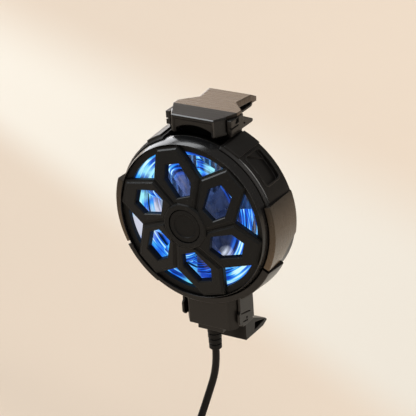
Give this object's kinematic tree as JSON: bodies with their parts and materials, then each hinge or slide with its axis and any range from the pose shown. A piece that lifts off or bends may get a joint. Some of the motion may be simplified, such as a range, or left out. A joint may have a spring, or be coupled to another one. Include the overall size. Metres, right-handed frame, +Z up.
{
  "type": "phone cooling fan",
  "caption": "Round clip-on fan cooler for a phone: petal grille over a lit fan, sprung clamp, cold plate behind and a hanging USB cable.",
  "frame": {"origin": "centre of the cold face that touches the phone's back", "axes": "+Y from the fan towards the phone, +Z up along the clamp, +X to the right seen from the front"},
  "size_m": [0.0937, 0.0529, 0.1585],
  "materials": {
    "body_black": "fine satin texture, near black",
    "bezel_black": "smooth satin ring that catches a bright line along its top",
    "grille_grey": "dark grey satin petals with bevelled edges",
    "cap_black": "smooth bare cap",
    "plate_taupe": "grey-brown satin cover",
    "blade_clear": "milky translucent",
    "diffuser": "milky, lit blue to cyan",
    "board_green": "solder mask",
    "led_white": "lit chips",
    "aluminium": "plain",
    "ceramic_white": "ceramic faces",
    "steel": "plain",
    "magnet_dark": "bonded ferrite",
    "bronze": "oiled sleeve",
    "silicone_grey": "soft",
    "cable_black": "matt jacket",
    "nickel": "nickel plated",
    "tongue_white": "insulator",
    "tie_black": "woven strap"
  },
  "bodies": {
    "cooler": {"front_grille": "grille_grey", "hub_cap": "cap_black", "bezel_ring": "bezel_black", "housing_shell": "body_black", "side_grip_right": "body_black", "side_grip_left": "body_black", "rear_cover": "body_black", "rear_screws": "steel", "silicone_pad": "silicone_grey", "cold_plate": "aluminium", "peltier_module": "ceramic_white", "heat_sink": "aluminium", "fan_frame": "body_black", "sleeve_bearing": "bronze", "stator": "steel", "light_ring": "diffuser", "led_board": "board_green", "leds": "led_white", "return_springs": "steel", "cable_block": "body_black", "bottom_block": "body_black", "bottom_jaw": "body_black", "control_board": "board_green", "block_screws": "steel", "strain_relief": "cable_black", "power_cable": "cable_black", "cable_coil": "cable_black", "cable_tie": "tie_black", "plug_lead": "cable_black", "plug_body": "cable_black", "plug_shell": "nickel", "plug_tongue": "tongue_white"},
    "fan": {"fan_rotor": "blade_clear", "magnet_ring": "magnet_dark", "fan_shaft": "steel"},
    "top_clamp": {"head_front": "body_black", "head_block": "body_black", "top_plate": "plate_taupe", "upper_finger": "body_black", "top_jaw": "body_black", "slider_fork": "body_black"}
  },
  "joints": [
    {"name": "fan_spin", "type": "hinge", "parent": "cooler", "child": "fan", "pos_m": [0, -0.014, 0], "axis": [0, 1, 0], "continuous": true},
    {"name": "clamp_slide", "type": "slide", "parent": "cooler", "child": "top_clamp", "axis": [0, 0, 1], "range_m": [0, 0.012], "stiffness_N_per_m": 300, "springref_m": -0.01, "deforming": ["return_springs"]}
  ]
}
